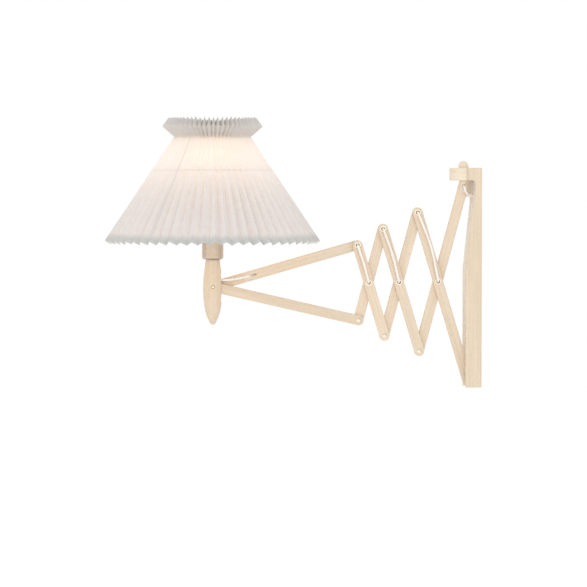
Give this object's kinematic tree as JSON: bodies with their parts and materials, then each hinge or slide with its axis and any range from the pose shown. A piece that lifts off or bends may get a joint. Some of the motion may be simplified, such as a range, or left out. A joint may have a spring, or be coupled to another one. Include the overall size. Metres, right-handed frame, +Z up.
{
  "type": "accordion wall lamp",
  "caption": "Wall lamp on an extending wooden scissor arm with a turned grip and a pleated cone shade; it swivels, extends and tilts.",
  "frame": {"origin": "middle of the wall bar's back face, which lies on the wall", "axes": "+X into the wall, so the lamp reaches towards -X; +Z up; the near layer of slats is towards -Y"},
  "size_m": [0.7527, 0.4296, 0.5395],
  "materials": {
    "pale_wood": "pale oiled beech, satin",
    "cord_sheath": "cream sheath, matt",
    "eyelet_metal": "brushed pale brass",
    "screw_metal": "polished pale brass",
    "bush_plastic": "cream",
    "cup_metal": "satin brass",
    "holder_ceramic": "white, glazed",
    "fitting_brass": "plain brass",
    "ring_plastic": "white, satin",
    "carrier_wire": "white enamel",
    "bulb_cap_metal": "bright",
    "bulb_glass": "frosted, lit",
    "pleated_paper": "off-white pleated shade paper, matt"
  },
  "bodies": {
    "root": {"wall_bar": "pale_wood", "top_bracket": "pale_wood", "bracket_screws": "screw_metal", "cable_bush": "bush_plastic", "cord_wall_loop": "cord_sheath"},
    "swivel": {"swivel_dowel": "pale_wood", "top_hinge_tube": "eyelet_metal"},
    "wall_slat_far": {"wall_slat_far": "pale_wood", "cord_wall_slat_far": "cord_sheath", "eyelet_wall_cross": "eyelet_metal", "joint_screw_wall": "screw_metal", "joint_nut_wall": "screw_metal"},
    "wall_slat_near": {"wall_slat_near": "pale_wood", "cord_wall_slat_near": "cord_sheath", "eyelet_wall_upper": "eyelet_metal"},
    "middle_slat_far": {"middle_slat_far": "pale_wood", "cord_middle_slat_far": "cord_sheath", "eyelet_middle_cross": "eyelet_metal", "joint_screw_middle": "screw_metal", "joint_nut_middle": "screw_metal"},
    "middle_slat_near": {"middle_slat_near": "pale_wood", "cord_middle_slat_near": "cord_sheath", "eyelet_middle_upper": "eyelet_metal"},
    "outer_slat_far": {"outer_slat_far": "pale_wood", "cord_outer_slat_far": "cord_sheath", "eyelet_outer_cross": "eyelet_metal", "joint_screw_outer": "screw_metal", "joint_nut_outer": "screw_metal"},
    "outer_slat_near": {"outer_slat_near": "pale_wood", "cord_outer_slat_near": "cord_sheath", "eyelet_outer_upper": "eyelet_metal"},
    "upper_arm": {"upper_arm": "pale_wood", "cord_upper_arm": "cord_sheath"},
    "lower_arm": {"lower_arm": "pale_wood"},
    "head_pin": {"head_pin_screw": "screw_metal", "head_pin_nut": "screw_metal", "cord_head_lead": "cord_sheath"},
    "head": {"handle": "pale_wood", "threaded_tube": "fitting_brass", "tube_nut": "fitting_brass", "lampholder_cup": "cup_metal", "lampholder_body": "holder_ceramic", "lampholder_thread": "fitting_brass", "lampholder_contact": "fitting_brass", "lock_ring": "ring_plastic", "bulb_cap": "bulb_cap_metal", "bulb_glass": "bulb_glass", "shade_carrier": "carrier_wire", "shade": "pleated_paper"}
  },
  "joints": [
    {"name": "swivel", "type": "hinge", "parent": "root", "child": "swivel", "pos_m": [-0.0342, 0, 0.1845], "axis": [0, 0, 1], "range_deg": [-60, 60], "deforming": ["cord_wall_loop"]},
    {"name": "extend", "type": "hinge", "parent": "swivel", "child": "wall_slat_far", "pos_m": [-0.0342, 0, 0.1845], "axis": [0, 1, 0], "range_deg": [-6, 34], "deforming": ["cord_head_lead"]},
    {"name": "wall_cross", "type": "hinge", "parent": "wall_slat_far", "child": "wall_slat_near", "pos_m": [-0.08587, 0, -0.00767], "axis": [0, 1, 0], "range_deg": [-68.5, 12.5]},
    {"name": "wall_upper", "type": "hinge", "parent": "wall_slat_near", "child": "middle_slat_far", "pos_m": [-0.1273, 0, 0.13086], "axis": [0, 1, 0], "range_deg": [-12.5, 68.5]},
    {"name": "middle_cross", "type": "hinge", "parent": "middle_slat_far", "child": "middle_slat_near", "pos_m": [-0.16485, 0, -0.00878], "axis": [0, 1, 0], "range_deg": [-68.5, 12.5]},
    {"name": "middle_upper", "type": "hinge", "parent": "middle_slat_near", "child": "outer_slat_far", "pos_m": [-0.19677, 0, 0.09795], "axis": [0, 1, 0], "range_deg": [-12.5, 68.5]},
    {"name": "outer_cross", "type": "hinge", "parent": "outer_slat_far", "child": "outer_slat_near", "pos_m": [-0.2257, 0, -0.00963], "axis": [0, 1, 0], "range_deg": [-68.5, 12.5]},
    {"name": "outer_upper", "type": "hinge", "parent": "outer_slat_near", "child": "upper_arm", "pos_m": [-0.2481, 0, 0.0653], "axis": [0, 1, 0], "range_deg": [-7.28, 38.92]},
    {"name": "outer_lower", "type": "hinge", "parent": "outer_slat_far", "child": "lower_arm", "pos_m": [-0.246, 0, -0.08514], "axis": [0, 1, 0], "range_deg": [-38.92, 7.28]},
    {"name": "head_level", "type": "hinge", "parent": "upper_arm", "child": "head_pin", "pos_m": [-0.53794, -0.0041, -0.01738], "axis": [0, 1, 0], "range_deg": [-4.92, 1.28]},
    {"name": "head_tilt", "type": "hinge", "parent": "head_pin", "child": "head", "pos_m": [-0.53794, -0.0041, -0.01738], "axis": [0, 1, 0], "range_deg": [-30, 3], "deforming": ["cord_head_lead"]}
  ],
  "couplings": [
    {"joint": "wall_cross", "follows": "extend", "ratio": -2},
    {"joint": "wall_upper", "follows": "extend", "ratio": 2},
    {"joint": "middle_cross", "follows": "extend", "ratio": -2},
    {"joint": "middle_upper", "follows": "extend", "ratio": 2},
    {"joint": "outer_cross", "follows": "extend", "ratio": -2},
    {"joint": "outer_upper", "follows": "extend", "ratio": 1.13},
    {"joint": "outer_lower", "follows": "extend", "ratio": -1.13},
    {"joint": "head_level", "follows": "extend", "ratio": -0.13}
  ]
}
